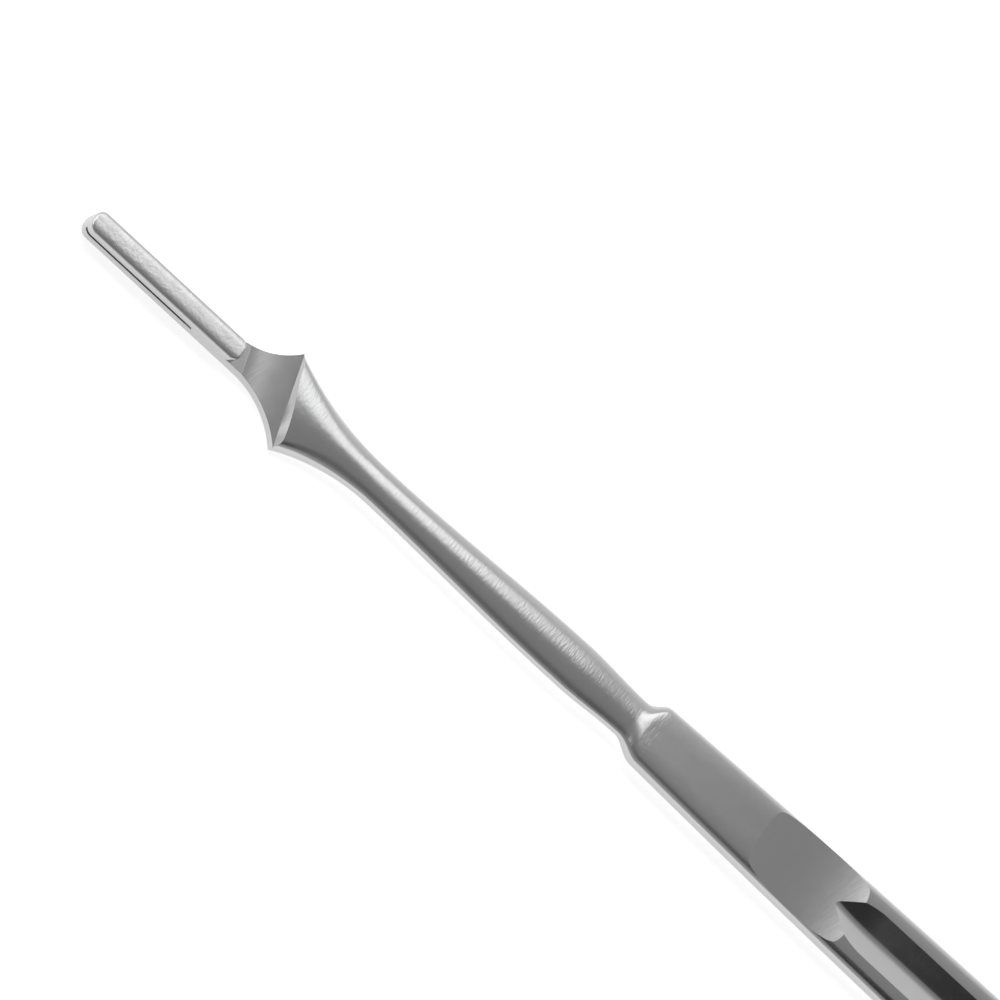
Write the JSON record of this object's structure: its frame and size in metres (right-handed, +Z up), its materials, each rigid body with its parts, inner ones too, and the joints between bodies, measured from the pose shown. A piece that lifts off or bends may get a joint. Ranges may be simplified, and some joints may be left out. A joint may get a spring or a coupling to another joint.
{
  "type": "gouge blade holder",
  "caption": "Slender flat one-piece handle with a grooved nib for push-on blades, a slanted ridge, an oval neck and a fluted grip.",
  "frame": {"origin": "middle of the holder's length and width, on the surface that it lies on", "axes": "+X from the nib to the round end of the grip, +Y across, +Z up out of the upper face"},
  "size_m": [0.16, 0.0082, 0.0021],
  "materials": {
    "steel": "fine satin ground stainless steel, duller on the nib"
  },
  "bodies": {
    "root": {"blade_holder": "steel"}
  },
  "joints": []
}
